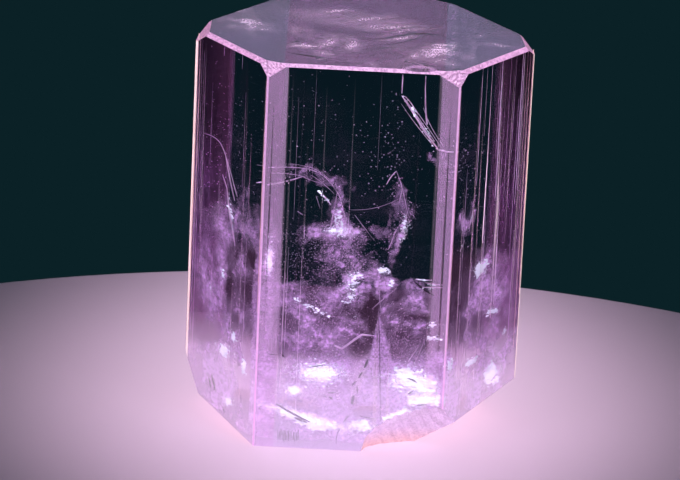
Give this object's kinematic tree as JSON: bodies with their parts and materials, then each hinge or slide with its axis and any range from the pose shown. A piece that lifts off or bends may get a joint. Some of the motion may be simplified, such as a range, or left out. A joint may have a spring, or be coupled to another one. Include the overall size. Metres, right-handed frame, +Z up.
{
  "type": "kunzite crystal",
  "caption": "Stout see-through lilac-pink gem crystal: a flattened upright prism with bevelled top edges, growth lines up its faces and a chipped flat base.",
  "frame": {"origin": "middle of the bounding box at the base, on the plane the crystal rests on", "axes": "+Z up the prism, its growth direction; the wide front face looks towards -Y; +X to the right seen from the front"},
  "size_m": [0.0446, 0.0232, 0.0567],
  "materials": {
    "kunzite": "clear lilac-pink crystal with a glassy natural surface, milky towards the base"
  },
  "bodies": {
    "root": {"kunzite_crystal": "kunzite"}
  },
  "joints": []
}
